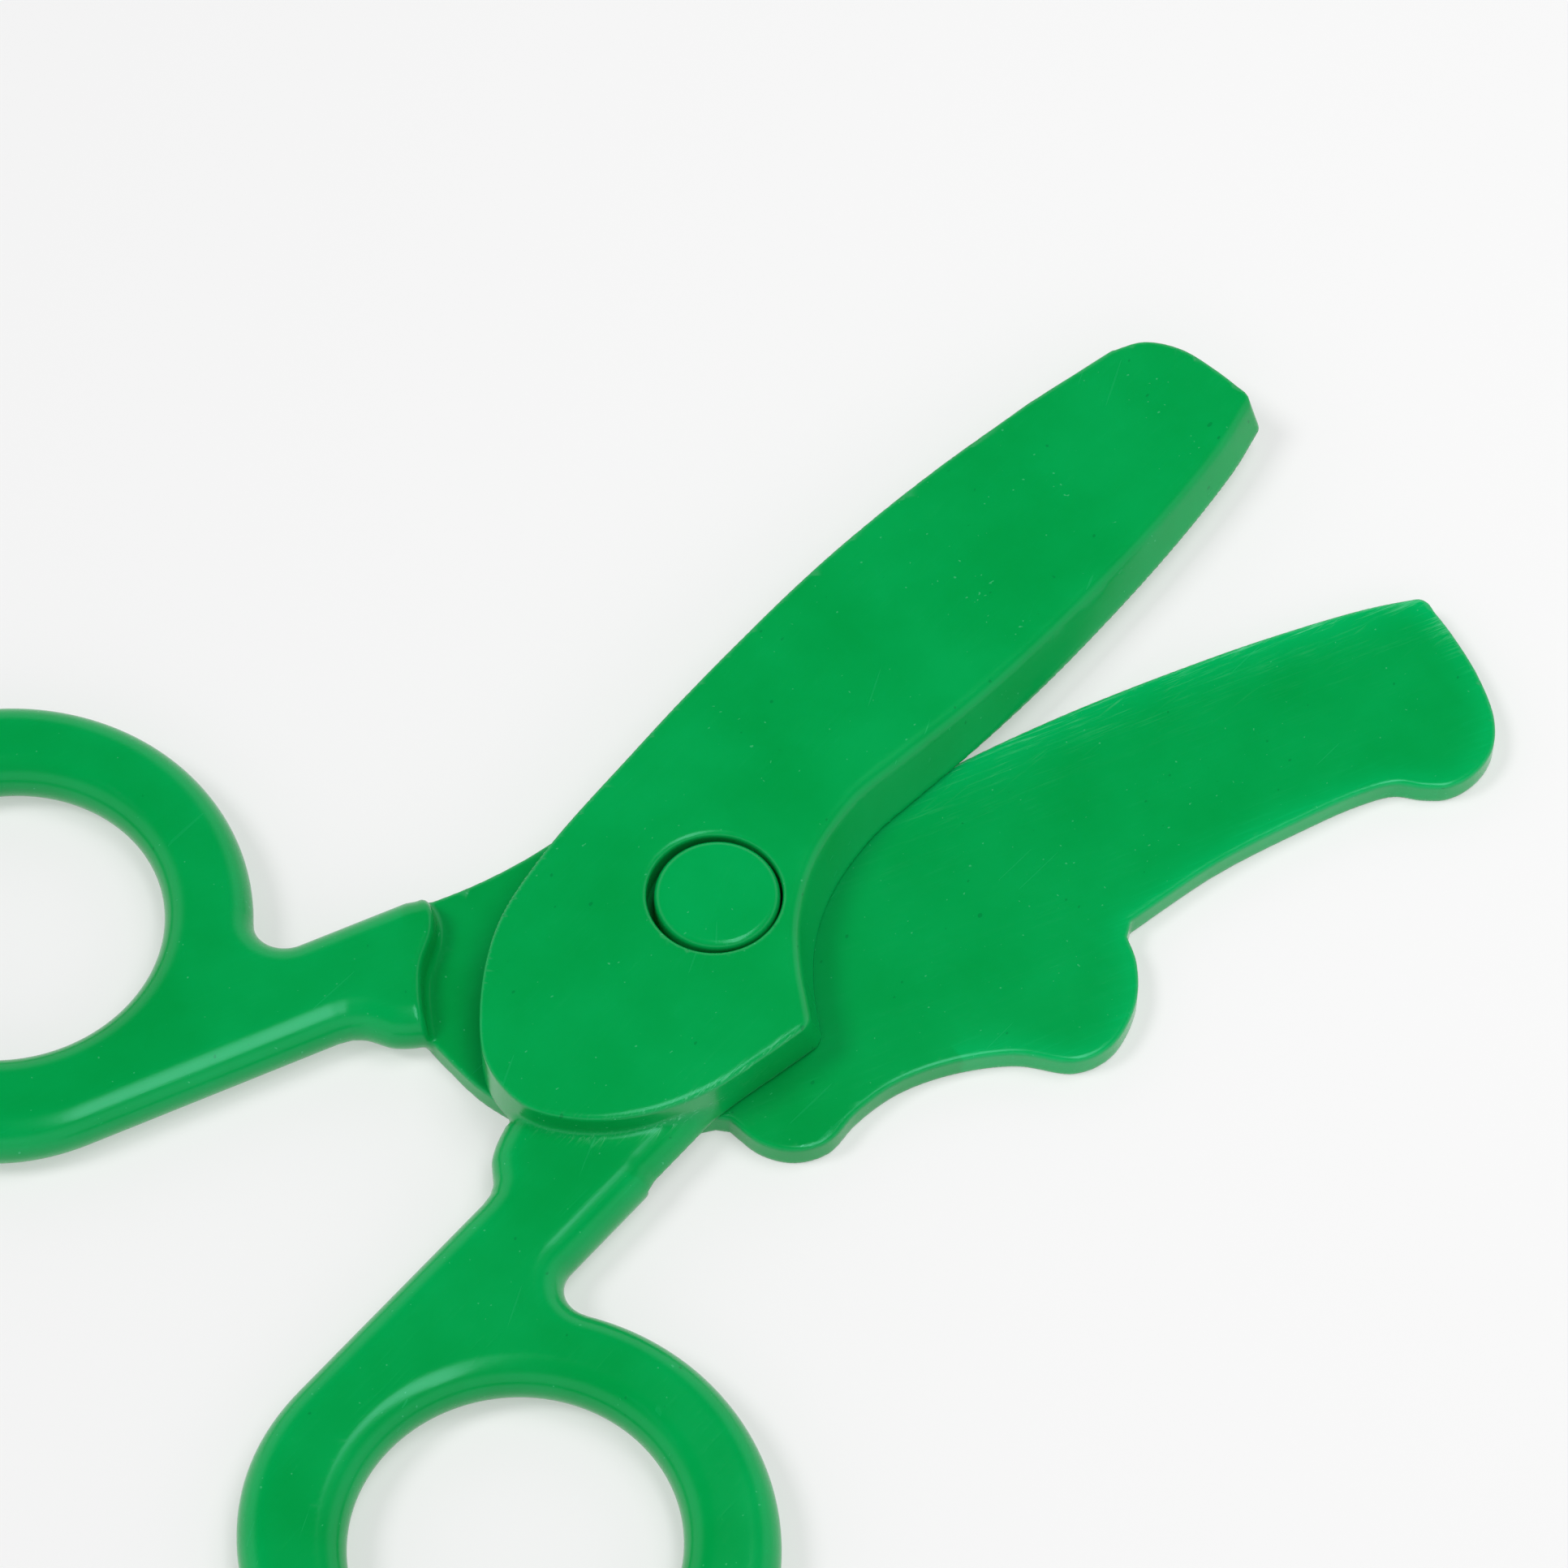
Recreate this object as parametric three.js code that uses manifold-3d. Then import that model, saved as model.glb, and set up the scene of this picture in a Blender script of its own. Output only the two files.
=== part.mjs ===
// Moulded plastic craft scissors with one lobed blade, lying open. Millimetres, +Z up.
//
// Origin: on the pivot axis, in the plane that the scissors lie on.
// +X runs forward along the centreline, midway between the two blades and the two handles.
// The front half lies on top: its blade is on the +Y side and its handle on the -Y side. The rear half
// is below, the other way round. Both halves share the handle and the cutting edge, mirrored in Y.
// Outlines are drawn as seen from above, in the open rest pose, for the front half.
import * as THREE from 'three';
import { mergeVertices } from 'three/addons/utils/BufferGeometryUtils.js';
import Module from 'manifold-3d';

// ---- driving dimensions ----
const PARTING_Z = 2.4; // plane where the two halves slide on each other
const PLATE_GAP = 0.3; // clearance between the two halves in that plane
const HANDLE_TOP_Z = 4.8; // both handles are this thick
const BOSS_TOP_Z = 7.15; // the front blade stands proud of its handle
const TIP_TOP_Z = 5.5; // top of the front blade at its tip
const TAPER_START_X = 8; // the front blade gets thinner from here to the tip
const TIP_X = 65.4;

const HANDLE_EDGE = 1.0; // rounding of the handles' edges
const LOOP_CENTRE = [-45.4, -34.45];
const LOOP_RADIUS = 20.35;
const FINGER_HOLE_CENTRE = [-44.85, -34.2];
const FINGER_HOLE_RADIUS = 12.65;
const ARMPIT_CENTRE = [-27.05, -20.7]; // fillet between the loop and the handle's outer side
const ARMPIT_RADIUS = 2.6;
const ARMPIT_ARC = [1.79, 3.78]; // where that fillet starts and ends, in radians
const LOOP_ARC = [0.64, -3.05];
const HANDLE_LEAN = 12.3; // degrees between the handle's sides and the centreline
const HANDLE_OUTER_Y = -16.5; // the handle's sides at HANDLE_GAUGE_X
const HANDLE_INNER_Y = -7.35;
const HANDLE_GAUGE_X = -20;
const SHANK_INSET = 0.2; // the handle narrows this much on its outer side where it runs under the boss

const BEVEL_RUN = 2.2; // how far the blade bevel leans over the front blade's full thickness
const BEVEL_RUN_AT_BASE = 1.2;
const BEVEL_FULL_X = 15;
const REAR_BEVEL_RUN = 1.0;
const BEVEL_CORNER = [-1.3, -13.95]; // where the front bevel's top starts, beside the boss
const FRONT_TIP_TRIM = 0.3; // the bevels stop this far short of the tip
const REAR_TIP_TRIM = 0.5;
const STEP_RADIUS = 24.75; // the front handle's underside is cut back to here, to clear the rear plate

const HEAD_RADIUS = 5.0;
const HEAD_OFFSET = [0.16, -0.12]; // the button head sits a little off centre in its counterbore
const HEAD_THICKNESS = 2.4;
const HEAD_EDGE = 0.65;
const COUNTERBORE_RADIUS = 5.4;
const COUNTERBORE_DEPTH = 2.6;
const BORE_RADIUS = 3.6;
const HUB_RADIUS = 3.4;
const CAP_RADIUS = 4.6;
const CAP_THICKNESS = 1.1;
const CAP_RECESS_RADIUS = 4.8;
const CAP_RECESS_DEPTH = 1.3;
const SOCKET_RADIUS = 2.2;
const SOCKET_FLOOR_Z = 0.6;
const SHANK_RADIUS = 2.0;
const BARB_RADIUS = 2.35;
const BARB_Z = 1.9;
const BARB_LEAD = 0.6; // height of the barb's lead-in
const BARB_CATCH = 0.15; // and of its catching side
const SHANK_END_RADIUS = 1.5;
const SHANK_IN_HEAD = 0.5;
const GROOVE_RADIUS = 2.6;
const GROOVE_BELOW = 0.5; // the groove reaches this far below and above the barb
const GROOVE_ABOVE = 0.3;
const GROOVE_CHAMFER = [0.2, 0.15]; // height of its lower and upper chamfers
const RUNNING_GAP = 0.2;
const ROUND_STEPS = 48;
const PAST = 1; // how far a cutter runs past the face that it opens

const UNDER_FRONT_Z = PARTING_Z + PLATE_GAP / 2;
const OVER_REAR_Z = PARTING_Z - PLATE_GAP / 2;

// ---- outlines ----
// The handle's two straight sides.
const HANDLE_SLOPE = Math.tan(THREE.MathUtils.degToRad(HANDLE_LEAN));
const outerSide = (x) => HANDLE_OUTER_Y + (x - HANDLE_GAUGE_X) * HANDLE_SLOPE;
const innerSide = (x) => HANDLE_INNER_Y + (x - HANDLE_GAUGE_X) * HANDLE_SLOPE;

// A smooth curve through a few points.
function smooth(points, steps) {
  const through = points.map(([x, y]) => new THREE.Vector3(x, y, 0));
  const curve = new THREE.CatmullRomCurve3(through, false, 'centripetal');
  return curve.getPoints(steps).map((p) => new THREE.Vector2(p.x, p.y));
}

function handleShape() {
  const shape = new THREE.Shape();
  shape.moveTo(-12.2, outerSide(-12.2) + SHANK_INSET);
  shape.lineTo(-17.9, outerSide(-17.9) + SHANK_INSET);
  shape.lineTo(-18.7, outerSide(-18.7));
  shape.lineTo(-26.5, outerSide(-26.5));
  shape.absarc(...ARMPIT_CENTRE, ARMPIT_RADIUS, ...ARMPIT_ARC, false);
  shape.absarc(...LOOP_CENTRE, LOOP_RADIUS, ...LOOP_ARC, true);
  shape.bezierCurveTo(-65.2, -26.5, -61.5, -16.4, -50.5, innerSide(-50.5));
  shape.lineTo(-29.8, innerSide(-29.8));
  shape.lineTo(-28.2, -8.7);
  shape.lineTo(-27.1, -6.8);
  shape.lineTo(-24.4, -5.0);
  shape.lineTo(-21.5, -4.5);
  shape.lineTo(-14, -9);
  const hole = new THREE.Path();
  hole.absarc(...FINGER_HOLE_CENTRE, FINGER_HOLE_RADIUS, 0, 2 * Math.PI, false);
  shape.holes.push(hole);
  return shape;
}

// From the corner beside the boss, along the recess and the slightly bellied edge, to the tip.
const CUTTING_EDGE = [
  [0.2, -13.8], [2.5, -9.8], [5.2, -6.5], [9.2, -3.6], [14.8, -1.5], [20.4, -0.7],
  [27, 0.1], [34.7, 1.4], [43.5, 3.35], [52.2, 5.65], [60.7, 8.45], [TIP_X, 10.6],
];
// From the tip, round the plain back edge and the egg-shaped boss, to the corner.
const FRONT_TIP = [[64.95, 13.4], [64.6, 15.8], [63.6, 19.4], [61.6, 21.8], [58.8, 22.7]];
const FRONT_BACK = [
  [50, 22.6], [38, 21.7], [26.2, 20.05], [14.5, 17.5], [2.9, 14.5], [-8.8, 11.1],
  [-15.6, 7.9], [-20.9, 2.8], [-23.4, -1.6], [-23.2, -6.5], [-20.2, -10.3], [-15.8, -12.8],
  [-10.5, -14.05], [-5, -14.15],
];
// The rear blade's end and lobed back edge, then the plate under the boss, drawn where they are.
const REAR_END = [
  [64.85, -12.2], [64.6, -14.4], [63.6, -19], [61.9, -23], [59.8, -25.15], [57, -26], [54.7, -25.65],
  [53.1, -24.5], [51.5, -22.85], [48.6, -21.8], [43.5, -20.85], [35.5, -19.85], [26.5, -19.85],
];
const REAR_LOBES = [
  [25.3, -20.8], [24.4, -23.1], [22, -25.95], [18, -27.8], [14.9, -27.2], [11.6, -23.8], [7, -21.3],
  [2.5, -20.15], [-1.5, -20.3], [-4.9, -21.05], [-7.5, -20.1], [-9.2, -17.9], [-9.85, -14.8],
];
const REAR_PLATE = [
  [-10.6, -14], [-16.5, -11.2], [-21.3, -6.4], [-23.5, -1.4], [-24.1, 3.6], [-24.2, 7],
];
const REAR_SHOULDER = [[-18.2, 15.85], [-13.4, 14.75], [-9, 14.2], [-4.5, 14.1]];
// Where the rear handle drops to the plate: it follows the boss as that swings past.
const REAR_STEP = [
  [-16.9, 16.6], [-17.4, 13.7], [-18.6, 11.9], [-21.2, 9.8], [-23, 7.3], [-24.5, 4.4], [-24.8, 2.5],
];

const mirrored = (points) => points.map(([x, y]) => [x, -y]);
const asPoints = (points) => points.map(([x, y]) => new THREE.Vector2(x, y));

// ---- solids ----
const wasm = await Module();
wasm.setup();

function toSolid(geometry) {
  const bare = new THREE.BufferGeometry();
  bare.setAttribute('position', geometry.getAttribute('position'));
  if (geometry.index) bare.setIndex(geometry.index);
  const merged = mergeVertices(bare, 1e-4);
  const { array: corners } = merged.index;
  const triVerts = [];
  for (let i = 0; i < corners.length; i += 3) {
    const [a, b, c] = corners.slice(i, i + 3);
    if (a !== b && b !== c && c !== a) triVerts.push(a, b, c);
  }
  return new wasm.Manifold(new wasm.Mesh({
    numProp: 3,
    vertProperties: new Float32Array(merged.getAttribute('position').array),
    triVerts: new Uint32Array(triVerts),
  }));
}

function toGeometry(solid) {
  const { vertProperties, triVerts } = solid.getMesh();
  const geometry = new THREE.BufferGeometry();
  geometry.setAttribute('position', new THREE.BufferAttribute(vertProperties, 3));
  geometry.setIndex(new THREE.BufferAttribute(triVerts, 1));
  geometry.computeVertexNormals();
  return geometry;
}

// A wall between two closed outlines with as many points, one above the other, and a flat face on each.
function loft(lower, upper, lowerZ, upperZ) {
  const n = lower.length;
  const triangles = [];
  if (THREE.ShapeUtils.isClockWise(lower)) {
    lower.reverse();
    upper.reverse();
  }
  lower.forEach((_, i) => {
    const next = (i + 1) % n;
    triangles.push(i, next, n + next, i, n + next, n + i);
  });
  for (const [a, b, c] of THREE.ShapeUtils.triangulateShape(lower, [])) triangles.push(a, c, b);
  for (const [a, b, c] of THREE.ShapeUtils.triangulateShape(upper, [])) triangles.push(n + a, n + b, n + c);
  const corners = [...lower.map((p) => [p.x, p.y, lowerZ]), ...upper.map((p) => [p.x, p.y, upperZ])];
  const geometry = new THREE.BufferGeometry();
  geometry.setAttribute('position', new THREE.Float32BufferAttribute(corners.flat(), 3));
  geometry.setIndex(triangles);
  return toSolid(geometry);
}

const prism = (points, lowerZ, upperZ) => loft(asPoints(points), asPoints(points), lowerZ, upperZ);

function disc(radius, lowerZ, upperZ) {
  const geometry = new THREE.CylinderGeometry(radius, radius, upperZ - lowerZ, ROUND_STEPS);
  geometry.rotateX(Math.PI / 2).translate(0, 0, (lowerZ + upperZ) / 2);
  return toSolid(geometry);
}

// Handle with rounded edges, in the front half's place.
function handleSolid() {
  const geometry = new THREE.ExtrudeGeometry(handleShape(), {
    depth: HANDLE_TOP_Z - 2 * HANDLE_EDGE,
    bevelThickness: HANDLE_EDGE,
    bevelSize: HANDLE_EDGE,
    bevelOffset: -HANDLE_EDGE,
    bevelSegments: 2,
    curveSegments: 28,
  });
  return toSolid(geometry.translate(0, 0, HANDLE_EDGE));
}

// The cutting edge moved into the blade, to where the bevel meets the blade's outer face.
function bevelled(edge, fullRun, runAtBase, side) {
  return edge.map((p, i) => {
    const along = edge[Math.min(i + 1, edge.length - 1)].clone().sub(edge[Math.max(i - 1, 0)]).normalize();
    const share = THREE.MathUtils.clamp(p.x / BEVEL_FULL_X, 0, 1);
    const run = THREE.MathUtils.lerp(runAtBase, fullRun, share);
    return new THREE.Vector2(p.x - along.y * run * side, p.y + along.x * run * side);
  });
}

// A wedge that thins the front blade towards its tip: everything above a sloping face.
function taperWedge() {
  const halfWidth = 40;
  const slope = (TIP_TOP_Z - BOSS_TOP_Z) / (TIP_X - TAPER_START_X);
  const slopeZ = (x) => BOSS_TOP_Z + slope * (x - TAPER_START_X);
  const startX = TAPER_START_X - 30;
  const endX = TIP_X + 10;
  const highZ = slopeZ(startX) + 1;
  const side = [[startX, slopeZ(startX)], [endX, slopeZ(endX)], [endX, highZ], [startX, highZ]];
  const geometry = new THREE.ExtrudeGeometry(new THREE.Shape(asPoints(side)), {
    depth: 2 * halfWidth,
    bevelEnabled: false,
  });
  return toSolid(geometry.translate(0, 0, -halfWidth).rotateX(Math.PI / 2));
}

function frontBlade() {
  const edge = smooth(CUTTING_EDGE, 44);
  const rest = [...smooth(FRONT_TIP, 12), ...smooth(FRONT_BACK, 70)];
  const upperEdge = bevelled(edge, BEVEL_RUN, BEVEL_RUN_AT_BASE, 1);
  upperEdge[0].set(...BEVEL_CORNER);
  upperEdge[upperEdge.length - 1].x = TIP_X - FRONT_TIP_TRIM;
  return loft([...edge, ...rest], [...upperEdge, ...rest], UNDER_FRONT_Z, BOSS_TOP_Z);
}

function rearPlate() {
  const edge = smooth(mirrored(CUTTING_EDGE), 44);
  const rest = [
    ...smooth(REAR_END, 40), ...smooth(REAR_LOBES, 50),
    ...smooth(REAR_PLATE, 20), ...asPoints(REAR_SHOULDER),
  ];
  const lowerEdge = bevelled(edge, REAR_BEVEL_RUN, REAR_BEVEL_RUN, -1);
  lowerEdge[lowerEdge.length - 1].x = TIP_X - REAR_TIP_TRIM;
  return loft([...lowerEdge, ...rest], [...edge, ...rest], 0, OVER_REAR_Z);
}

function frontHalf() {
  return handleSolid()
    .subtract(disc(STEP_RADIUS, -PAST, UNDER_FRONT_Z))
    .add(frontBlade())
    .subtract(taperWedge())
    .subtract(disc(BORE_RADIUS, 0, BOSS_TOP_Z + PAST))
    .subtract(disc(COUNTERBORE_RADIUS, BOSS_TOP_Z - COUNTERBORE_DEPTH, BOSS_TOP_Z + PAST));
}

function rearHalf() {
  const handle = handleSolid().mirror([0, 1, 0]);
  const stepCutter = prism([...REAR_STEP, [-10, 2], [-8, 20]], OVER_REAR_Z, HANDLE_TOP_Z + PAST);
  return handle
    .subtract(stepCutter)
    .add(rearPlate())
    .subtract(disc(BORE_RADIUS, -PAST, OVER_REAR_Z + PAST))
    .subtract(disc(CAP_RECESS_RADIUS, -PAST, CAP_RECESS_DEPTH));
}

// A turned solid from its half-section: [radius, z] pairs from the axis round to the axis again.
function turned(section) {
  const geometry = new THREE.LatheGeometry(asPoints(section), ROUND_STEPS);
  return toSolid(geometry.rotateX(Math.PI / 2));
}

// Snap button: a round head flush with the boss, and a barbed shank that clicks into the cap.
function pivotPin() {
  const headBottom = BOSS_TOP_Z - HEAD_THICKNESS;
  const midEdge = 0.3 * HEAD_EDGE;
  const head = turned([
    [0, headBottom], [HEAD_RADIUS, headBottom], [HEAD_RADIUS, BOSS_TOP_Z - HEAD_EDGE],
    [HEAD_RADIUS - midEdge, BOSS_TOP_Z - midEdge], [HEAD_RADIUS - HEAD_EDGE, BOSS_TOP_Z], [0, BOSS_TOP_Z],
  ]).translate([...HEAD_OFFSET, 0]);
  const shank = turned([
    [0, SOCKET_FLOOR_Z + RUNNING_GAP], [SHANK_END_RADIUS, SOCKET_FLOOR_Z + RUNNING_GAP],
    [SHANK_RADIUS, BARB_Z - BARB_LEAD], [BARB_RADIUS, BARB_Z], [SHANK_RADIUS, BARB_Z + BARB_CATCH],
    [SHANK_RADIUS, headBottom + SHANK_IN_HEAD], [0, headBottom + SHANK_IN_HEAD],
  ]);
  return head.add(shank);
}

// Rear cap: a flange in the rear half's underside, with the hub that both halves turn on.
function pivotCap() {
  const hubTop = BOSS_TOP_Z - COUNTERBORE_DEPTH;
  const grooveLow = BARB_Z - GROOVE_BELOW;
  const grooveHigh = BARB_Z + GROOVE_ABOVE;
  return turned([
    [0, 0], [CAP_RADIUS, 0], [CAP_RADIUS, CAP_THICKNESS], [HUB_RADIUS, CAP_THICKNESS],
    [HUB_RADIUS, hubTop], [SOCKET_RADIUS, hubTop], [SOCKET_RADIUS, grooveHigh + GROOVE_CHAMFER[1]],
    [GROOVE_RADIUS, grooveHigh], [GROOVE_RADIUS, grooveLow], [SOCKET_RADIUS, grooveLow - GROOVE_CHAMFER[0]],
    [SOCKET_RADIUS, SOCKET_FLOOR_Z], [0, SOCKET_FLOOR_Z],
  ]);
}

// ---- assembly ----
const green = () => new THREE.MeshStandardMaterial({ color: 0x00a04e, roughness: 0.42, metalness: 0 });

const group = new THREE.Group();
const pieces = {
  rear_half: rearHalf(),
  front_half: frontHalf(),
  pivot_cap: pivotCap(),
  pivot_pin: pivotPin(),
};
for (const [name, solid] of Object.entries(pieces)) {
  const mesh = new THREE.Mesh(toGeometry(solid), green());
  mesh.name = name;
  group.add(mesh);
}

export default group;
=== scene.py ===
"""Moulded plastic craft scissors with one lobed blade, lying open on a pale table.

The two mouldings are built from distance fields: plan outlines are turned into solids with rounded edges
and fillets, and meshed. The button's pin and cap are turned from their sections. Lengths are in millimetres
until a mesh is made, which is in metres.
The frame is the CAD's: origin on the pivot axis at the table, +X along the centreline, +Z up.
"""
import math

import bpy
import numpy as np
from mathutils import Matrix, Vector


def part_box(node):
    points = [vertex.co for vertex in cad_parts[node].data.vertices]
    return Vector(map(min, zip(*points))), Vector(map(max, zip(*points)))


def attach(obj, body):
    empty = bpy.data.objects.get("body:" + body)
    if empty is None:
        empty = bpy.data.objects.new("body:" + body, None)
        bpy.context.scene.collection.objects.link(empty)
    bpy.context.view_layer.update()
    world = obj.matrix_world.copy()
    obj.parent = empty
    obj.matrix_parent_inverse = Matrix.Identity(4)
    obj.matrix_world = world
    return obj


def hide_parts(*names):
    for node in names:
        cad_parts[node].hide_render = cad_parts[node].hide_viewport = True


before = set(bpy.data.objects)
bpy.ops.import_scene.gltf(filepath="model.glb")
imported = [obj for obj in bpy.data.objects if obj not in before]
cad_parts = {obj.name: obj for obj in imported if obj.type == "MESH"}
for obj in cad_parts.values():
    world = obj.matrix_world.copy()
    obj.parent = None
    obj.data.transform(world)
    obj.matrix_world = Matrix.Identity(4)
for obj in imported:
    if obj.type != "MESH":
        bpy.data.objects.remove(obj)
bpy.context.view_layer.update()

import openvdb
from mathutils import Matrix, Vector

MM = 0.001

# ---- heights ----
PARTING_Z = 2.4
PLATE_GAP = 0.16
UNDER_FRONT_Z = PARTING_Z + PLATE_GAP / 2
OVER_REAR_Z = PARTING_Z - PLATE_GAP / 2
HANDLE_TOP_Z = 4.8
BOSS_TOP_Z = 7.15
TIP_TOP_Z = 5.5
TAPER_START_X = 8.0
TIP_X = 65.4

# ---- handle: its two straight sides lean from the centreline, with their Y given at HANDLE_GAUGE_X ----
HANDLE_EDGE = 2.4
HANDLE_SLOPE = math.tan(math.radians(12.3))
HANDLE_GAUGE_X = -20
HANDLE_OUTER_Y = -16.5
HANDLE_INNER_Y = -7.35
SHANK_INSET = 0.2
LOOP_CENTRE = (-45.4, -34.45)
LOOP_RADIUS = 20.3
FINGER_HOLE_CENTRE = (-44.85, -34.2)
FINGER_HOLE_RADIUS = 12.65
ARMPIT_CENTRE = (-27.05, -20.7)
ARMPIT_RADIUS = 2.6
ARMPIT_ARC = (1.79, 3.78)
LOOP_ARC = (0.64, -3.05)
STEP_RADIUS = 24.75

# ---- edges and fillets ----
BOSS_EDGE = 0.16
BOSS_LOWER_EDGE = 0.42
BOSS_LOWER_FROM_Y = -7
BOSS_LOWER_FULL_Y = -12
BLADE_CREASE = 0.7
KEEN_EDGE = 0.24
REAR_TOP_EDGE = 0.24
REAR_BOTTOM_EDGE = 0.22
REAR_CORNER = 0.8
SHANK_FILLET = 0.55
SHANK_EDGE = 0.2
STEP_FILLET = 0.5
STEP_EDGE = 0.5
STEP_LEAN = 0.15
STEP_DEPTH = 0.7
REAR_SHANK_END_X = -16.6
REAR_SHANK_FILLET = 0.6
BEVEL_RUN = 2.2
BEVEL_RUN_AT_BASE = 1.2
BEVEL_FULL_X = 15.0
REAR_BEVEL_RUN = 1.0
BEVEL_COSINE = 0.9

# ---- pivot ----
BORE_RADIUS = 3.6
COUNTERBORE_RADIUS = 5.4
COUNTERBORE_DEPTH = 2.6
COUNTERBORE_EDGE = 0.37
CAP_RECESS_RADIUS = 4.8
CAP_RECESS_DEPTH = 1.3
HEAD_RADIUS = 5.0
HEAD_EDGE = 0.65
HEAD_THICKNESS = 2.4
HEAD_OFFSET = (0.16, -0.12)

# ---- outlines, as seen from above, for the front half ----
CUTTING_EDGE = [
    (0.2, -13.8), (2.5, -9.8), (5.2, -6.5), (9.2, -3.6), (14.8, -1.5), (20.4, -0.7),
    (27, 0.1), (34.7, 1.4), (43.5, 3.35), (52.2, 5.65), (60.7, 8.45), (TIP_X, 10.6),
]
FRONT_TIP = [(64.95, 13.4), (64.6, 15.8), (63.6, 19.4), (61.6, 21.8), (58.8, 22.7)]
FRONT_BACK = [
    (50, 22.6), (38, 21.7), (26.2, 20.05), (14.5, 17.5), (2.9, 14.5), (-8.8, 11.1),
    (-15.6, 7.9), (-20.9, 2.8), (-23.4, -1.6), (-23.2, -6.5), (-20.2, -10.3), (-15.8, -12.8),
    (-10.5, -14.05), (-5, -14.15),
]
REAR_END = [
    (64.85, -12.2), (64.6, -14.4), (63.6, -19), (61.9, -23), (59.8, -25.15), (57, -26), (54.7, -25.65),
    (53.1, -24.5), (51.5, -22.85), (48.6, -21.8), (43.5, -20.85), (35.5, -19.85), (26.5, -19.85),
]
REAR_LOBES = [
    (25.3, -20.8), (24.4, -23.1), (22, -25.95), (18, -27.8), (14.9, -27.2), (11.6, -23.8), (7, -21.3),
    (2.5, -20.15), (-1.5, -20.3), (-4.9, -21.05), (-7.5, -20.1), (-9.2, -17.9), (-9.85, -14.8),
]
REAR_PLATE = [(-10.6, -14), (-16.5, -11.2), (-21.3, -6.4), (-23.5, -1.4), (-24.1, 3.6), (-24.2, 7)]
REAR_SHOULDER = [(-18.2, 15.85), (-13.4, 14.75), (-9, 14.2), (-4.5, 14.1)]
PAST_THE_EDGE = [(0.2, -14), (8, -13.7), (67.1, 0)]
REAR_STEP = [
    (-16.9, 16.6), (-17.4, 13.7), (-18.6, 11.9), (-21.2, 9.8), (-23, 7.3), (-24.5, 4.4), (-24.8, 2.5),
]


# ---- plane curves ----
def smooth(points, spacing=0.5):
    """Points about spacing apart along a centripetal Catmull-Rom curve through the given points."""
    p = np.array(points, float)
    p = np.vstack([2 * p[0] - p[1], p, 2 * p[-1] - p[-2]])
    runs = []
    for a, b, c, d in zip(p, p[1:], p[2:], p[3:]):
        before, here, after = (np.linalg.norm(v) ** 0.5 for v in (b - a, c - b, d - c))
        leave = ((b - a) / before - (c - a) / (before + here) + (c - b) / here) * here
        arrive = ((c - b) / here - (d - b) / (here + after) + (d - c) / after) * here
        steps = max(2, math.ceil(np.linalg.norm(c - b) / spacing))
        t = np.linspace(0, 1, steps, endpoint=False)[:, None]
        runs.append(
            (2 * t**3 - 3 * t**2 + 1) * b + (t**3 - 2 * t**2 + t) * leave
            + (3 * t**2 - 2 * t**3) * c + (t**3 - t**2) * arrive
        )
    return np.vstack(runs + [p[-2:-1]])


def arc(centre, radius, start, end, steps=60):
    """Points on an arc between two angles in radians."""
    angle = np.linspace(start, end, steps)
    return np.array(centre) + radius * np.column_stack([np.cos(angle), np.sin(angle)])


def bezier(a, b, c, d, steps=40):
    t = np.linspace(0, 1, steps)[:, None]
    a, b, c, d = (np.array(p, float) for p in (a, b, c, d))
    return (1 - t) ** 3 * a + 3 * t * (1 - t) ** 2 * b + 3 * t**2 * (1 - t) * c + t**3 * d


def mirrored(points):
    return [(x, -y) for x, y in points]


# ---- distance fields ----
def polygon(points, x, y):
    """Signed distance to a closed outline in the plane, negative inside."""
    nearest = np.full(np.broadcast(x, y).shape, np.inf)
    inside = np.zeros(nearest.shape, bool)
    for (x0, y0), (x1, y1) in zip(points, np.roll(points, -1, axis=0)):
        dx, dy = x1 - x0, y1 - y0
        share = np.clip(((x - x0) * dx + (y - y0) * dy) / max(dx * dx + dy * dy, 1e-12), 0, 1)
        nearest = np.minimum(nearest, (x - x0 - share * dx) ** 2 + (y - y0 - share * dy) ** 2)
        if dy:
            inside ^= ((y0 > y) != (y1 > y)) & (x < x0 + (y - y0) * dx / dy)
    return np.where(inside, -1, 1) * np.sqrt(nearest)


def both(a, b, radius):
    """What lies in both a and b, with its convex edge rounded."""
    corner = np.hypot(np.maximum(a + radius, 0), np.maximum(b + radius, 0))
    return np.minimum(np.maximum(a, b), -radius) + corner


def joined(a, b, radius):
    """a and b together, with a fillet where they meet."""
    return -both(-a, -b, radius)


def without(a, b, radius):
    """a with b cut away, with the cut's rim rounded."""
    return both(a, -b, radius)


def slab(plan, z, low, high, edge_low, edge_high):
    """A plan raised between two heights, with rounded lower and upper edges."""
    return both(both(plan, z - high, edge_high), low - z, edge_low)


def cushion(plan, z, low, high, run):
    """A plan raised between two heights, with elliptical edges that run this far in."""
    half = (high - low) / 2
    return (np.hypot(np.maximum(plan / run + 1, 0), (z - low - half) / half) - 1) * half


# ---- the two mouldings ----
def outer_side(x):
    """Y of the handle's straight outer side."""
    return HANDLE_OUTER_Y + (x - HANDLE_GAUGE_X) * HANDLE_SLOPE


def inner_side(x):
    """Y of the handle's straight inner side."""
    return HANDLE_INNER_Y + (x - HANDLE_GAUGE_X) * HANDLE_SLOPE


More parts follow.
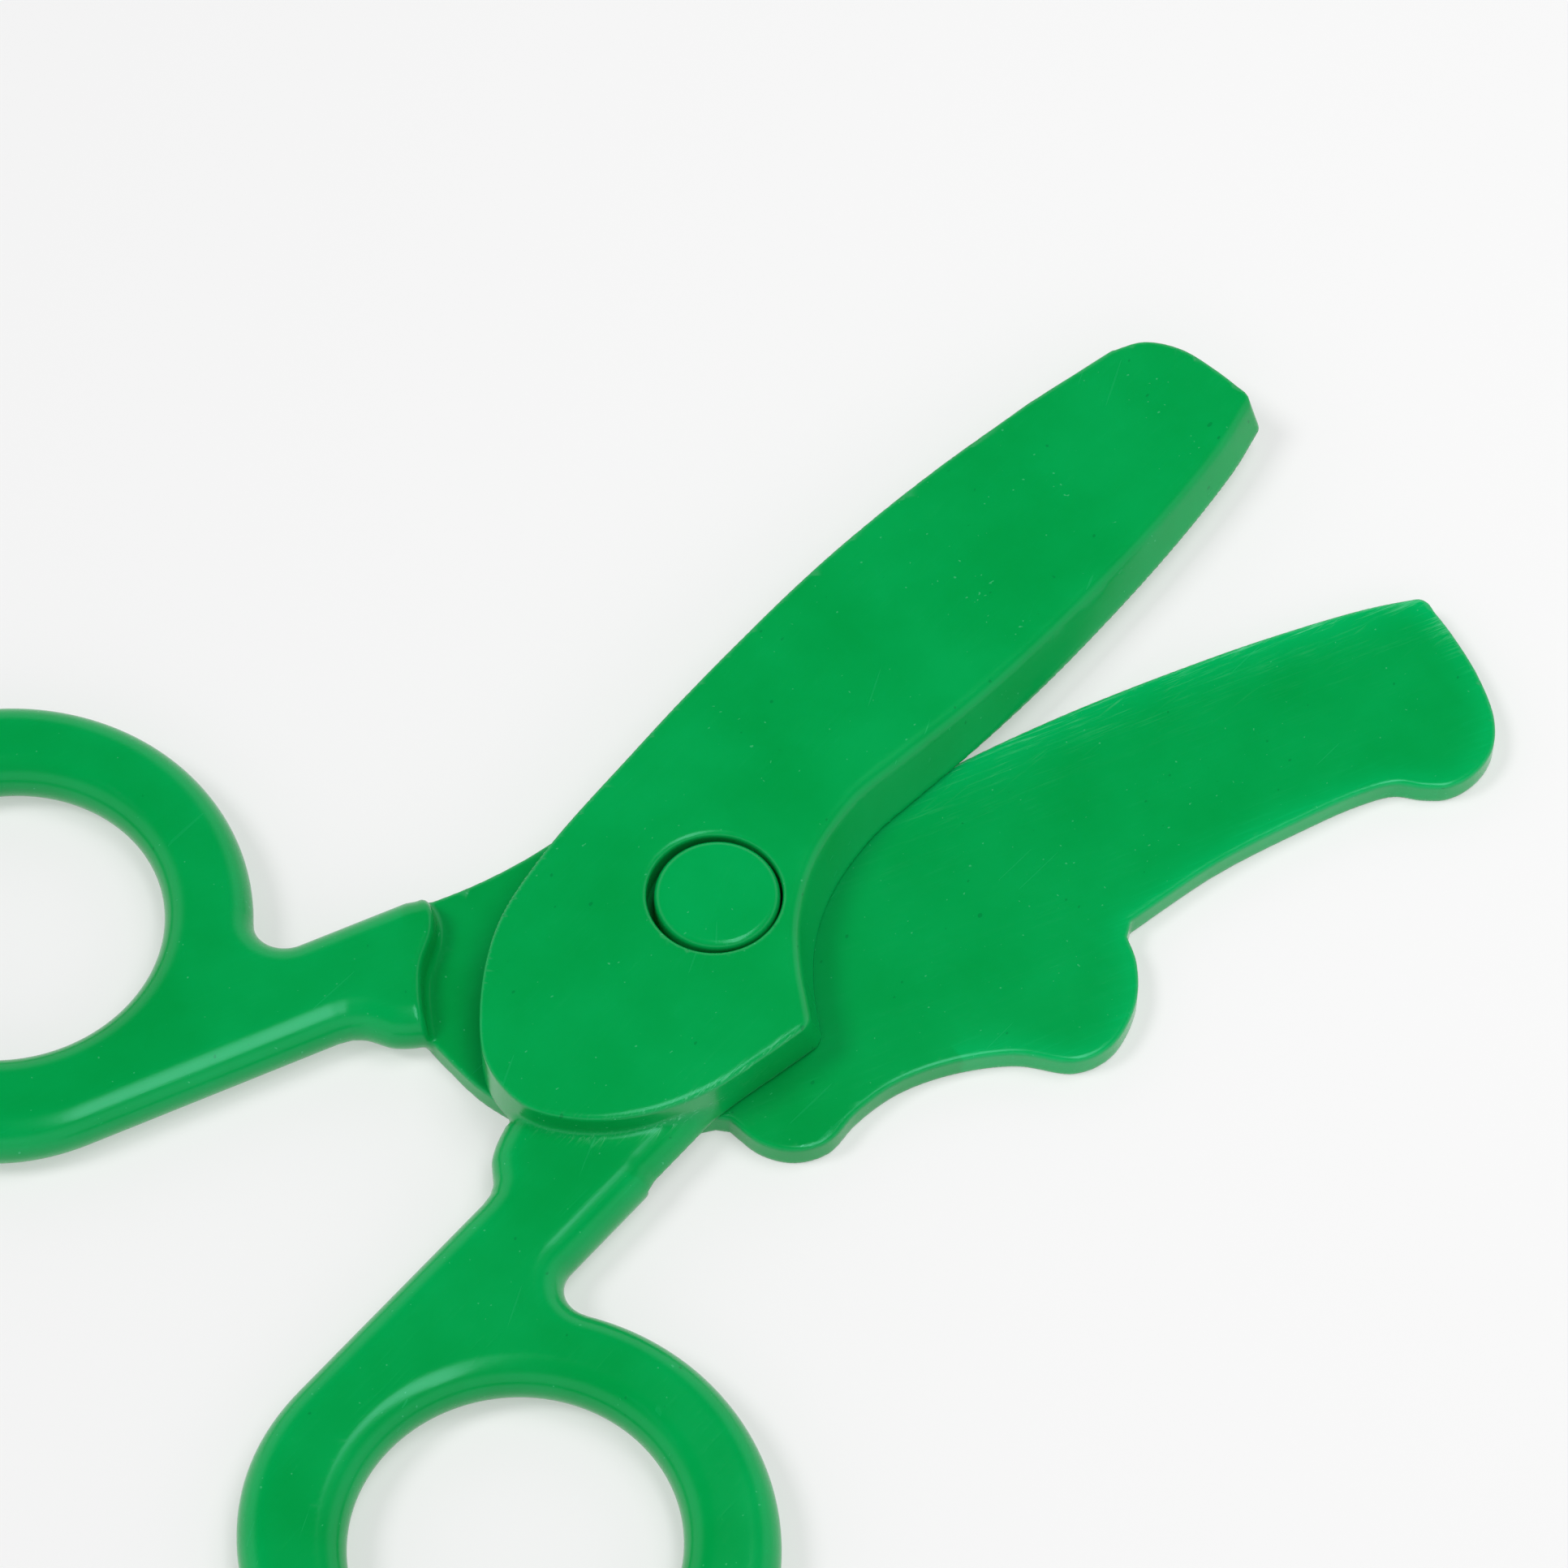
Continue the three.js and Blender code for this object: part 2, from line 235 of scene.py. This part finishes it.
# The handle runs on under the boss, where its first and last points are hidden.
HANDLE_OUTLINE = np.vstack([
    [(-4, -6), (-8, outer_side(-8) + SHANK_INSET)],
    [(-17.9, outer_side(-17.9) + SHANK_INSET), (-18.7, outer_side(-18.7))],
    arc(ARMPIT_CENTRE, ARMPIT_RADIUS, *ARMPIT_ARC),
    arc(LOOP_CENTRE, LOOP_RADIUS, *LOOP_ARC, 160),
    bezier((-65.6, -36.3), (-65.2, -26.5), (-61.5, -16.4), (-50.5, inner_side(-50.5))),
    [(-29.9, inner_side(-29.9))],
    smooth([(-28.9, -9.15), (-28.1, -8.5), (-27.5, -7.6), (-26.9, -6.7), (-25.8, -5.8), (-24.4, -5)]),
    [(-21.5, -4.5)],
])
# The cutting edge is carried on past both its ends, round the blade's side.
BLADE_SIDE = np.vstack([
    smooth(CUTTING_EDGE), [(74.5, 14.7), (74.5, 60), (-60, 60), (-60, -18.1), (-2.3, -18.1)],
])
# The rear half's handle is cut down to the plate inside this outline.
STEP_OUTLINE = np.vstack([smooth(REAR_STEP), [(-10, 2), (-8, 20)]])
# The blade outlines without their cutting edge run past its corners, and the bevel cuts them back.
FRONT_OUTLINE = np.vstack([smooth(FRONT_TIP), smooth(FRONT_BACK), PAST_THE_EDGE])
REAR_OUTLINE = np.vstack([
    smooth(REAR_END), smooth(REAR_LOBES), smooth(REAR_PLATE), smooth(REAR_SHOULDER), mirrored(PAST_THE_EDGE),
])


def handle_outline(x, y):
    """Signed distance in the plane to the outer outline of the front half's handle and finger loop."""
    return polygon(HANDLE_OUTLINE, x, y)


def handle(x, y, z):
    """The front half's handle and finger loop."""
    hole = np.hypot(x - FINGER_HOLE_CENTRE[0], y - FINGER_HOLE_CENTRE[1]) - FINGER_HOLE_RADIUS
    return cushion(np.maximum(handle_outline(x, y), -hole), z, 0, HANDLE_TOP_Z, HANDLE_EDGE)


def blade_side(x, y):
    """Signed distance in the plane to the front half's cutting edge; negative on the blade's side of it."""
    return polygon(BLADE_SIDE, x, y)


def bevel_run(x):
    """How far the bevel runs in from the cutting edge to the blade's top."""
    return BEVEL_RUN_AT_BASE + (BEVEL_RUN - BEVEL_RUN_AT_BASE) * np.clip(x / BEVEL_FULL_X, 0, 1)


def front_half(x, y, z):
    share = (z - UNDER_FRONT_Z) / (BOSS_TOP_Z - UNDER_FRONT_Z)
    bevel = (blade_side(x, y) + bevel_run(x) * share) * BEVEL_COSINE
    taper = (BOSS_TOP_Z - TIP_TOP_Z) / (TIP_X - TAPER_START_X)
    top = z - BOSS_TOP_Z + taper * np.maximum(x - TAPER_START_X, 0)
    lower = np.clip((BOSS_LOWER_FROM_Y - y) / (BOSS_LOWER_FROM_Y - BOSS_LOWER_FULL_Y), 0, 1)
    edge = BOSS_EDGE + (BOSS_LOWER_EDGE - BOSS_EDGE) * lower
    blade = both(both(polygon(FRONT_OUTLINE, x, y), top, edge), bevel, BLADE_CREASE)
    blade = both(blade, UNDER_FRONT_Z - z, KEEN_EDGE)
    axle = np.hypot(x, y)
    swept_by_rear = np.maximum(axle - STEP_RADIUS, z - UNDER_FRONT_Z)
    body = joined(without(handle(x, y, z), swept_by_rear, SHANK_EDGE), blade, SHANK_FILLET)
    body = np.maximum(body, -swept_by_rear)
    body = np.maximum(body, BORE_RADIUS - axle)
    counterbore = np.maximum(axle - COUNTERBORE_RADIUS, BOSS_TOP_Z - COUNTERBORE_DEPTH - z)
    return without(body, counterbore, COUNTERBORE_EDGE)


def rear_half(x, y, z):
    bevel = (blade_side(x, -y) + REAR_BEVEL_RUN * (1 - z / OVER_REAR_Z)) * BEVEL_COSINE
    plan = both(polygon(REAR_OUTLINE, x, y), bevel, REAR_CORNER)
    plate = slab(plan, z, 0, OVER_REAR_Z, REAR_BOTTOM_EDGE, REAR_TOP_EDGE)
    step = polygon(STEP_OUTLINE, x, y) - STEP_LEAN * (z - OVER_REAR_Z)
    cleared = both(step, OVER_REAR_Z - STEP_DEPTH - z, STEP_FILLET)
    grip = np.maximum(handle(x, -y, z), x - REAR_SHANK_END_X)
    body = joined(without(grip, cleared, STEP_EDGE), plate, REAR_SHANK_FILLET)
    body = np.maximum(body, -z)
    axle = np.hypot(x, y)
    body = np.maximum(body, BORE_RADIUS - axle)
    return np.maximum(body, -np.maximum(axle - CAP_RECESS_RADIUS, z - CAP_RECESS_DEPTH))


# ---- wear and painted highlights: how much each moulding has of scuffing, paling and painted highlight, 0 to 1 ----
# Each term falls off from a line or a level over the reach given to near(), in millimetres.
def near(distance, reach):
    """1 at no distance, falling to nearly 0 at twice the reach."""
    return np.exp(-(distance / reach) ** 2)


def outer_edge_paling(x, y):
    """How much a band just inside the outer edge of the front half's handle is paled."""
    return 0.2 * near(handle_outline(x, y) + 1.1, 1.3) * (np.hypot(x, y) > STEP_RADIUS)


def front_wear(x, y, z):
    outline = polygon(FRONT_OUTLINE, x, y)
    # A pale line in the fillet under the boss: partly scuffing, partly a painted highlight.
    under_boss_scuff_and_highlight = near(outline - 0.3, 0.6) * near(x + 14, 6) * near(z - HANDLE_TOP_Z, 0.4)
    # A whitish line along the boss's lower edge: partly scuffing, partly a painted highlight.
    boss_edge_scuff_and_highlight = 0.8 * near(outline + 0.2, 0.22) * near(x + 9, 8) * near(z - BOSS_TOP_Z, 0.5) * (y < 0)
    bevel_foot = 0.15 * near(blade_side(x, y), 0.6) * (x > 0)
    return {"scuff": np.clip(under_boss_scuff_and_highlight + boss_edge_scuff_and_highlight, 0, 1), "pale": bevel_foot + outer_edge_paling(x, y)}


def rear_wear(x, y, z):
    side = blade_side(x, -y)
    outline = polygon(REAR_OUTLINE, x, y)
    on_blade = np.clip(x / 12, 0, 1)
    on_tip = np.clip((x - 52) / 12, 0, 1)
    scuffed_edge = (near(side, 0.6) + 0.12 * near(side, 4)) * on_blade
    scuffed_corner = 0.7 * near(outline, 0.9) * near(y + 12, 4) * on_tip
    paled_edge = (0.6 * near(side, 2.4) + 0.4 * near(side, 0.5)) * on_blade
    paled_lobes = 0.5 * near(outline, 1.6) * (x > 8)
    return {
        "scuff": np.clip(scuffed_edge + scuffed_corner, 0, 1),
        "pale": np.clip(paled_edge + paled_lobes + outer_edge_paling(x, -y), 0, 1),
    }


# ---- meshing ----
VOXEL = 0.2
MARGIN = 4  # voxels of empty space round the CAD box
ADAPTIVITY = 0.001
SETTLING_STEPS = 2  # moves that bring each vertex onto the field's own surface


def field_object(name, field, node, wear):
    """Meshes a distance field over a CAD node's box, with its true normals, its convexity and its wear."""
    low, high = (np.array(corner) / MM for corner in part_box(node))
    low = low - MARGIN * VOXEL
    counts = np.ceil((high - low) / VOXEL).astype(int) + MARGIN
    x, y, z = (np.float32(low[i] + VOXEL * np.arange(counts[i])) for i in range(3))
    values = field(x[:, None, None], y[None, :, None], z[None, None, :])
    values = np.ascontiguousarray(np.broadcast_to(values, counts), np.float32)
    grid = openvdb.FloatGrid()
    grid.copyFromArray(values)
    points, triangles, quads = grid.convertToPolygons(isovalue=0.0, adaptivity=ADAPTIVITY)
    points = points * VOXEL + low

    gradient = np.stack(np.gradient(values, VOXEL), axis=-1)
    gradient /= np.maximum(np.linalg.norm(gradient, axis=-1, keepdims=True), 1e-6)
    curvature = sum(np.gradient(gradient[..., i], VOXEL, axis=i) for i in range(3))

    def read(volume):
        """The volume's values at the points, blended between voxels."""
        place = (points - low) / VOXEL
        corner = np.clip(np.floor(place).astype(int), 0, counts - 2)
        part = place - corner
        return sum(
            volume[tuple((corner + offset).T)] * np.prod(np.where(offset, part, 1 - part), axis=1)[:, None]
            for offset in np.ndindex(2, 2, 2)
        )

    for _ in range(SETTLING_STEPS):
        points = points - read(gradient) * field(*points.T)[:, None]
    normals = read(gradient)
    normals /= np.linalg.norm(normals, axis=1)[:, None]
    convexity = read(curvature[..., None])[:, 0]

    mesh = bpy.data.meshes.new(name)
    mesh.from_pydata(points * MM, [], triangles.tolist() + quads.tolist())
    for attribute, amount in {"convexity": convexity, **wear(*points.T)}.items():
        data = mesh.attributes.new(attribute, "FLOAT", "POINT").data
        data.foreach_set("value", amount.astype(np.float32))
    mesh.shade_smooth()
    mesh.normals_split_custom_set_from_vertices(normals)
    piece = bpy.data.objects.new(name, mesh)
    bpy.context.scene.collection.objects.link(piece)
    return piece


def turned_object(name, section, centre=(0, 0), steps=128):
    """A turned solid from its half-section: (radius, height) pairs from the axis round to the axis again."""
    angles = np.linspace(0, 2 * math.pi, steps, endpoint=False)
    rings = section[1:-1]
    vertices = [(centre[0], centre[1], section[0][1])]
    vertices += [
        (centre[0] + r * math.cos(a), centre[1] + r * math.sin(a), h) for r, h in rings for a in angles
    ]
    vertices.append((centre[0], centre[1], section[-1][1]))
    faces = [(0, 1 + (i + 1) % steps, 1 + i) for i in range(steps)]
    for k in range(len(rings) - 1):
        here, after = 1 + k * steps, 1 + (k + 1) * steps
        faces += [
            (here + i, here + (i + 1) % steps, after + (i + 1) % steps, after + i) for i in range(steps)
        ]
    last = len(vertices) - 1
    base = 1 + (len(rings) - 1) * steps
    faces += [(base + i, base + (i + 1) % steps, last) for i in range(steps)]
    mesh = bpy.data.meshes.new(name)
    mesh.from_pydata([Vector(v) * MM for v in vertices], [], faces)
    mesh.shade_smooth()
    mesh.set_sharp_from_angle(angle=math.radians(35))
    piece = bpy.data.objects.new(name, mesh)
    bpy.context.scene.collection.objects.link(piece)
    return piece


def rounded(corner, radius, start, end, steps=6):
    """Section points round an edge: an arc of the given radius about corner, angles in degrees."""
    angles = [math.radians(start + (end - start) * i / steps) for i in range(steps + 1)]
    return [(corner[0] + radius * math.cos(a), corner[1] + radius * math.sin(a)) for a in angles]


# ---- the button: its pin hangs from the head down the bore, and its bead snaps into the cap's groove ----
SMALL_EDGE = 0.2
PIN_END_Z = 0.8
PIN_END_RADIUS = 1.4
PIN_TIP_EDGE = 0.3
PIN_RADIUS = 2.0
BEAD_CENTRE = (2.15, 1.9)
BEAD_LOW_Z = 1.3
BEAD_HIGH_Z = 2.15
HEAD_FLAT_IN = 1.4
CAP_RADIUS = 4.6
CAP_FLAT_RADIUS = 3.8
CAP_THICKNESS = 1.1
CAP_FLOOR_Z = 0.6
HUB_RADIUS = 3.4
HUB_BORE_RADIUS = 2.2
GROOVE_RADIUS = 2.6
GROOVE_LOW_Z = 1.4
GROOVE_HIGH_Z = 2.2
GROOVE_MOUTH_BELOW = 0.2
GROOVE_MOUTH_ABOVE = 0.15


def pivot_pin(name):
    """The button's head and the pin under it, up from the pin's end."""
    under = BOSS_TOP_Z - HEAD_THICKNESS
    section = [
        (0, PIN_END_Z),
        *rounded((PIN_END_RADIUS, PIN_END_Z + PIN_TIP_EDGE), PIN_TIP_EDGE, -90, -20),
        (PIN_RADIUS, BEAD_LOW_Z),
        *rounded(BEAD_CENTRE, SMALL_EDGE, -45, 90),
        (PIN_RADIUS, BEAD_HIGH_Z),
        (PIN_RADIUS, under - SMALL_EDGE),
        *rounded((PIN_RADIUS + SMALL_EDGE, under - SMALL_EDGE), SMALL_EDGE, 180, 90),
        *rounded((HEAD_RADIUS - SMALL_EDGE, under + SMALL_EDGE), SMALL_EDGE, -90, 0),
        *rounded((HEAD_RADIUS - HEAD_EDGE, BOSS_TOP_Z - HEAD_EDGE), HEAD_EDGE, 0, 90, 12),
        (HEAD_RADIUS - HEAD_FLAT_IN, BOSS_TOP_Z),
        (0, BOSS_TOP_Z),
    ]
    return turned_object(name, section, HEAD_OFFSET)


def pivot_cap(name):
    """The cap in the underside, from its foot up round the hub and down the hub's bore."""
    hub_top = BOSS_TOP_Z - COUNTERBORE_DEPTH
    section = [
        (0, 0),
        (CAP_FLAT_RADIUS, 0),
        *rounded((CAP_RADIUS - SMALL_EDGE, SMALL_EDGE), SMALL_EDGE, -90, 0),
        *rounded((CAP_RADIUS - SMALL_EDGE, CAP_THICKNESS - SMALL_EDGE), SMALL_EDGE, 0, 90),
        *rounded((HUB_RADIUS + SMALL_EDGE, CAP_THICKNESS + SMALL_EDGE), SMALL_EDGE, -90, -180),
        *rounded((HUB_RADIUS - SMALL_EDGE, hub_top - SMALL_EDGE), SMALL_EDGE, 0, 90),
        *rounded((HUB_BORE_RADIUS + SMALL_EDGE, hub_top - SMALL_EDGE), SMALL_EDGE, 90, 180),
        (HUB_BORE_RADIUS, GROOVE_HIGH_Z + GROOVE_MOUTH_ABOVE),
        (GROOVE_RADIUS, GROOVE_HIGH_Z),
        (GROOVE_RADIUS, GROOVE_LOW_Z),
        (HUB_BORE_RADIUS, GROOVE_LOW_Z - GROOVE_MOUTH_BELOW),
        *rounded((HUB_BORE_RADIUS - SMALL_EDGE, CAP_FLOOR_Z + SMALL_EDGE), SMALL_EDGE, 0, -90),
        (0, CAP_FLOOR_Z),
    ]
    return turned_object(name, section)


# ---- materials ----
# Layers over the plastic's own colour: how much of it each covers at most, and its colour. Paled plastic
# has a colour only, because the attribute pale says how much it covers.
FAINT_SCRATCH = (0.09, (0.005, 0.46, 0.15, 1))
WORN_EDGE = (0.15, (0.01, 0.48, 0.15, 1))
# The scuffing layer's colour also paints highlights on the front moulding's boss edge and in the fillet under
# it.
SCUFF_AND_HIGHLIGHT = (0.7, (0.2, 0.68, 0.4, 1))
DENT = (0.3, (0.1, 0.58, 0.3, 1))
DARK_SPECK = (0.35, (0.0, 0.12, 0.03, 1))
PALED = (0.0, 0.52, 0.15, 1)
BUMP_HEIGHT = 0.02
COLOUR_UNDER, COLOUR_OVER, COLOUR_MIXED = 6, 7, 2  # the Mix node's sockets for colours


def green_plastic(name, colour, scratch_angle):
    """Satin moulded plastic: mottling, fine scratches along the blade, specks, scuffing with painted
    highlights, and paler worn edges.

    Noise scales are per millimetre. The wear, and the highlights painted along with the scuffing, come from
    the point attributes for convexity, scuffing and paling.
    """
    material = bpy.data.materials.new(name)
    material.use_nodes = True
    nodes, links = material.node_tree.nodes, material.node_tree.links
    shader = nodes["Principled BSDF"]

    def node(kind, **settings):
        made = nodes.new(kind)
        for key, value in settings.items():
            setattr(made, key, value)
        return made

    def put(value, socket):
        if isinstance(value, bpy.types.NodeSocket):
            links.new(value, socket)
        else:
            socket.default_value = value

    def place(angle, stretch):
        """Object coordinates in millimetres, with the direction at this angle in the plane drawn out."""
        made = node("ShaderNodeMapping", vector_type="TEXTURE")
        put(coordinates.outputs["Object"], made.inputs["Vector"])
        made.inputs["Rotation"].default_value = (0, 0, angle)
        made.inputs["Scale"].default_value = (stretch * MM, MM, MM)
        return made.outputs["Vector"]

    def noise(vector, scale, detail=2.0, roughness=0.5):
        made = node("ShaderNodeTexNoise")
        put(vector, made.inputs["Vector"])
        made.inputs["Scale"].default_value = scale
        made.inputs["Detail"].default_value = detail
        made.inputs["Roughness"].default_value = roughness
        return made.outputs["Fac"]

    def remap(value, low, high, to_low=0, to_high=1):
        made = node("ShaderNodeMapRange")
        put(value, made.inputs["Value"])
        for socket, number in zip(("From Min", "From Max", "To Min", "To Max"), (low, high, to_low, to_high)):
            made.inputs[socket].default_value = number
        return made.outputs["Result"]

    def maths(operation, a, b):
        made = node("ShaderNodeMath", operation=operation)
        put(a, made.inputs[0])
        put(b, made.inputs[1])
        return made.outputs["Value"]

    def blend(share, under, over):
        made = node("ShaderNodeMix", data_type="RGBA")
        put(share, made.inputs["Factor"])
        put(under, made.inputs[COLOUR_UNDER])
        put(over, made.inputs[COLOUR_OVER])
        return made.outputs[COLOUR_MIXED]

    def cover(under, mask, layer):
        strength, over = layer
        return blend(maths("MULTIPLY", mask, strength), under, over)

    coordinates = node("ShaderNodeTexCoord")
    plain = place(0, 1)
    mottle = remap(noise(plain, 0.12, 3), 0.3, 0.7)
    grain = noise(plain, 1.4, 4, 0.65)
    patches = remap(noise(plain, 0.35, 2), 0.42, 0.62)
    fine = remap(noise(place(scratch_angle, 24), 5, 3, 0.7), 0.52, 0.7)
    slanted = remap(noise(place(scratch_angle + 0.3, 16), 4, 2, 0.6), 0.62, 0.76)
    stray = remap(noise(place(scratch_angle + 0.4, 30), 2.2, 0), 0.82, 0.84)
    dents = remap(noise(plain, 2.9, 0), 0.835, 0.86)
    dark = remap(noise(place(0.4, 1.3), 1.7, 0), 0.16, 0.13)

    convexity = node("ShaderNodeAttribute", attribute_name="convexity").outputs["Fac"]
    scuff_and_highlight_share = node("ShaderNodeAttribute", attribute_name="scuff").outputs["Fac"]
    paled = node("ShaderNodeAttribute", attribute_name="pale").outputs["Fac"]
    broken = maths("MULTIPLY", maths("MAXIMUM", fine, slanted), remap(patches, 0, 1, 0.35, 1))
    scuffs_and_highlights = maths("MULTIPLY", scuff_and_highlight_share, broken)
    faint = maths("MAXIMUM", maths("MULTIPLY", fine, maths("MULTIPLY", patches, 0.5)), stray)
    worn = maths("MULTIPLY", remap(convexity, 0.8, 3.2), remap(grain, 0.35, 0.6, 0.35, 1))

    red, green, blue = colour
    shade = blend(mottle, (red, green * 0.93, blue * 0.88, 1), (red, green * 1.04, blue * 1.12, 1))
    shade = cover(shade, faint, FAINT_SCRATCH)
    shade = blend(maths("MULTIPLY", paled, remap(fine, 0, 1, 0.6, 0.9)), shade, PALED)
    shade = cover(shade, worn, WORN_EDGE)
    # Scuffing, with painted highlights on the front moulding's boss edge and fillet.
    shade = cover(shade, scuffs_and_highlights, SCUFF_AND_HIGHLIGHT)
    shade = cover(shade, dents, DENT)
    shade = cover(shade, dark, DARK_SPECK)
    put(shade, shader.inputs["Base Color"])

    rough = maths("ADD", remap(mottle, 0, 1, 0.18, 0.23), maths("MULTIPLY", faint, 0.1))
    put(maths("ADD", rough, maths("MULTIPLY", scuffs_and_highlights, 0.3)), shader.inputs["Roughness"])
    height = maths("SUBTRACT", maths("MULTIPLY", grain, 0.35), maths("MULTIPLY", fine, 0.3))
    height = maths("SUBTRACT", height, maths("MULTIPLY", scuffs_and_highlights, 0.6))
    bump = node("ShaderNodeBump")
    bump.inputs["Strength"].default_value = 0.3
    bump.inputs["Distance"].default_value = BUMP_HEIGHT * MM
    put(height, bump.inputs["Height"])
    put(bump.outputs["Normal"], shader.inputs["Normal"])
    shader.inputs["IOR"].default_value = 1.52
    shader.inputs["Specular Tint"].default_value = (0.38, 1.0, 0.9, 1)
    shader.inputs["Subsurface Weight"].default_value = 0.12
    shader.inputs["Subsurface Radius"].default_value = (0.2, 1.0, 0.4)
    shader.inputs["Subsurface Scale"].default_value = 1.0 * MM
    return material


# ---- pieces ----
PIECES = [
    # name, body, CAD node, slot, colour, scratch direction
    ("front_moulding", "front", "front_half", "front_plastic", (0.0, 0.338, 0.064), 0.225),
    ("rear_moulding", "rear", "rear_half", "rear_plastic", (0.0, 0.33, 0.062), -0.225),
    ("button_pin", "rear", "pivot_pin", "pivot_plastic", (0.0, 0.365, 0.075), 0.5),
    ("button_cap", "rear", "pivot_cap", "pivot_plastic", (0.0, 0.35, 0.066), 0.9),
]
MAKERS = {
    "front_half": lambda name: field_object(name, front_half, "front_half", front_wear),
    "rear_half": lambda name: field_object(name, rear_half, "rear_half", rear_wear),
    "pivot_pin": pivot_pin,
    "pivot_cap": pivot_cap,
}
for name, body, cad_node, slot, colour, angle in PIECES:
    piece = MAKERS[cad_node](name)
    piece.data.materials.append(green_plastic(name + "_green", colour, angle))
    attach(piece, body)
    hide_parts(cad_node)


# ---- table: grey, and lit from within until it looks white, so that its shadows stay pale ----
TABLE_SIZE = 6.0  # metres
TABLE_CLEARANCE = 0.02  # between its top and the scissors' underside
TABLE_GREY = 0.5
TABLE_GLOW = 0.39


def table():
    mesh = bpy.data.meshes.new("table")
    half = TABLE_SIZE / 2
    corners = [(-half, -half, 0), (half, -half, 0), (half, half, 0), (-half, half, 0)]
    mesh.from_pydata(corners, [], [(0, 1, 2, 3)])
    floor = bpy.data.objects.new("table", mesh)
    floor.location.z = -TABLE_CLEARANCE * MM
    bpy.context.scene.collection.objects.link(floor)
    material = bpy.data.materials.new("table_white")
    material.use_nodes = True
    shader = material.node_tree.nodes["Principled BSDF"]
    shader.inputs["Base Color"].default_value = (TABLE_GREY, TABLE_GREY, TABLE_GREY, 1)
    shader.inputs["Emission Color"].default_value = (1, 1, 1, 1)
    shader.inputs["Emission Strength"].default_value = TABLE_GLOW
    shader.inputs["Roughness"].default_value = 0.9
    shader.inputs["Specular IOR Level"].default_value = 0.0
    mesh.materials.append(material)


table()

# ---- camera and light ----
# The view frame: X to the picture's right, Y away from the camera along the table, Z up.
CENTRELINE_ANGLE = math.radians(37.568)
ELEVATION = math.radians(57.72)
FOCAL_LENGTH = 152.0
SENSOR = 36.0
CAMERA_AT = Vector((5.48, -271.7, 450.9 + PARTING_Z)) * MM
VIEW_TO_ROW = Matrix.Rotation(-CENTRELINE_ANGLE, 4, "Z")


def add_camera():
    data = bpy.data.cameras.new("camera")
    data.lens = FOCAL_LENGTH
    data.sensor_width = SENSOR
    data.clip_start = 0.01
    camera = bpy.data.objects.new("camera", data)
    bpy.context.scene.collection.objects.link(camera)
    tilt = Matrix.Rotation(math.pi / 2 - ELEVATION, 4, "X")
    camera.matrix_world = VIEW_TO_ROW @ Matrix.Translation(CAMERA_AT) @ tilt
    bpy.context.scene.camera = camera


def add_light(name, kind, towards, energy, long_way=(1, 0, 0), glossy=True, **settings):
    """A light shining at the pivot. towards points at it and long_way along its size, in the view frame."""
    data = bpy.data.lights.new(name, kind)
    data.energy = energy
    for key, value in settings.items():
        setattr(data, key, value)
    light = bpy.data.objects.new(name, data)
    bpy.context.scene.collection.objects.link(light)
    back = Vector(towards).normalized()
    side = Vector(long_way).cross(back).normalized()
    turn = Matrix((side.cross(back) * -1, side * -1, back)).transposed()
    light.matrix_world = VIEW_TO_ROW @ Matrix.Translation(towards) @ turn.to_4x4()
    light.visible_glossy = glossy


add_camera()
# Of the lights, only the softbox shows in reflections. The others even out the brightness.
add_light("softbox", "AREA", (0.286, -0.143, 1.157), 4.6, long_way=(0.31, -0.95, 0), shape="ELLIPSE",
          size=1.25, size_y=0.36)
add_light("left_side", "SUN", (-0.6, -0.05, 0.8), 1.1, glossy=False, angle=math.radians(20))
add_light("front_fill", "SUN", (0.1, -0.7, 0.7), 0.3, glossy=False, angle=math.radians(60))
add_light("blade_fill", "AREA", (0.13, 0.04, 0.3), 0.22, glossy=False, size=0.15)

# ---- surroundings: the light fades from the walls' to the ceiling's between two sines of the elevation ----
WALL_TOP = 0.5
CEILING_FROM = 0.7
WALL_STRENGTH = 0.75
CEILING_STRENGTH = 0.03


def add_world():
    """Pale walls round the table, under a dark ceiling."""
    world = bpy.data.worlds.new("studio")
    world.use_nodes = True
    nodes, links = world.node_tree.nodes, world.node_tree.links
    split = nodes.new("ShaderNodeSeparateXYZ")
    links.new(nodes.new("ShaderNodeTexCoord").outputs["Generated"], split.inputs[0])
    fade = nodes.new("ShaderNodeMapRange")
    links.new(split.outputs["Z"], fade.inputs["Value"])
    levels = (WALL_TOP, CEILING_FROM, WALL_STRENGTH, CEILING_STRENGTH)
    for socket, number in zip(("From Min", "From Max", "To Min", "To Max"), levels):
        fade.inputs[socket].default_value = number
    links.new(fade.outputs["Result"], nodes["Background"].inputs["Strength"])
    nodes["Background"].inputs["Color"].default_value = (1, 1, 1, 1)
    bpy.context.scene.world = world


add_world()
bpy.context.scene.view_settings.view_transform = "Standard"
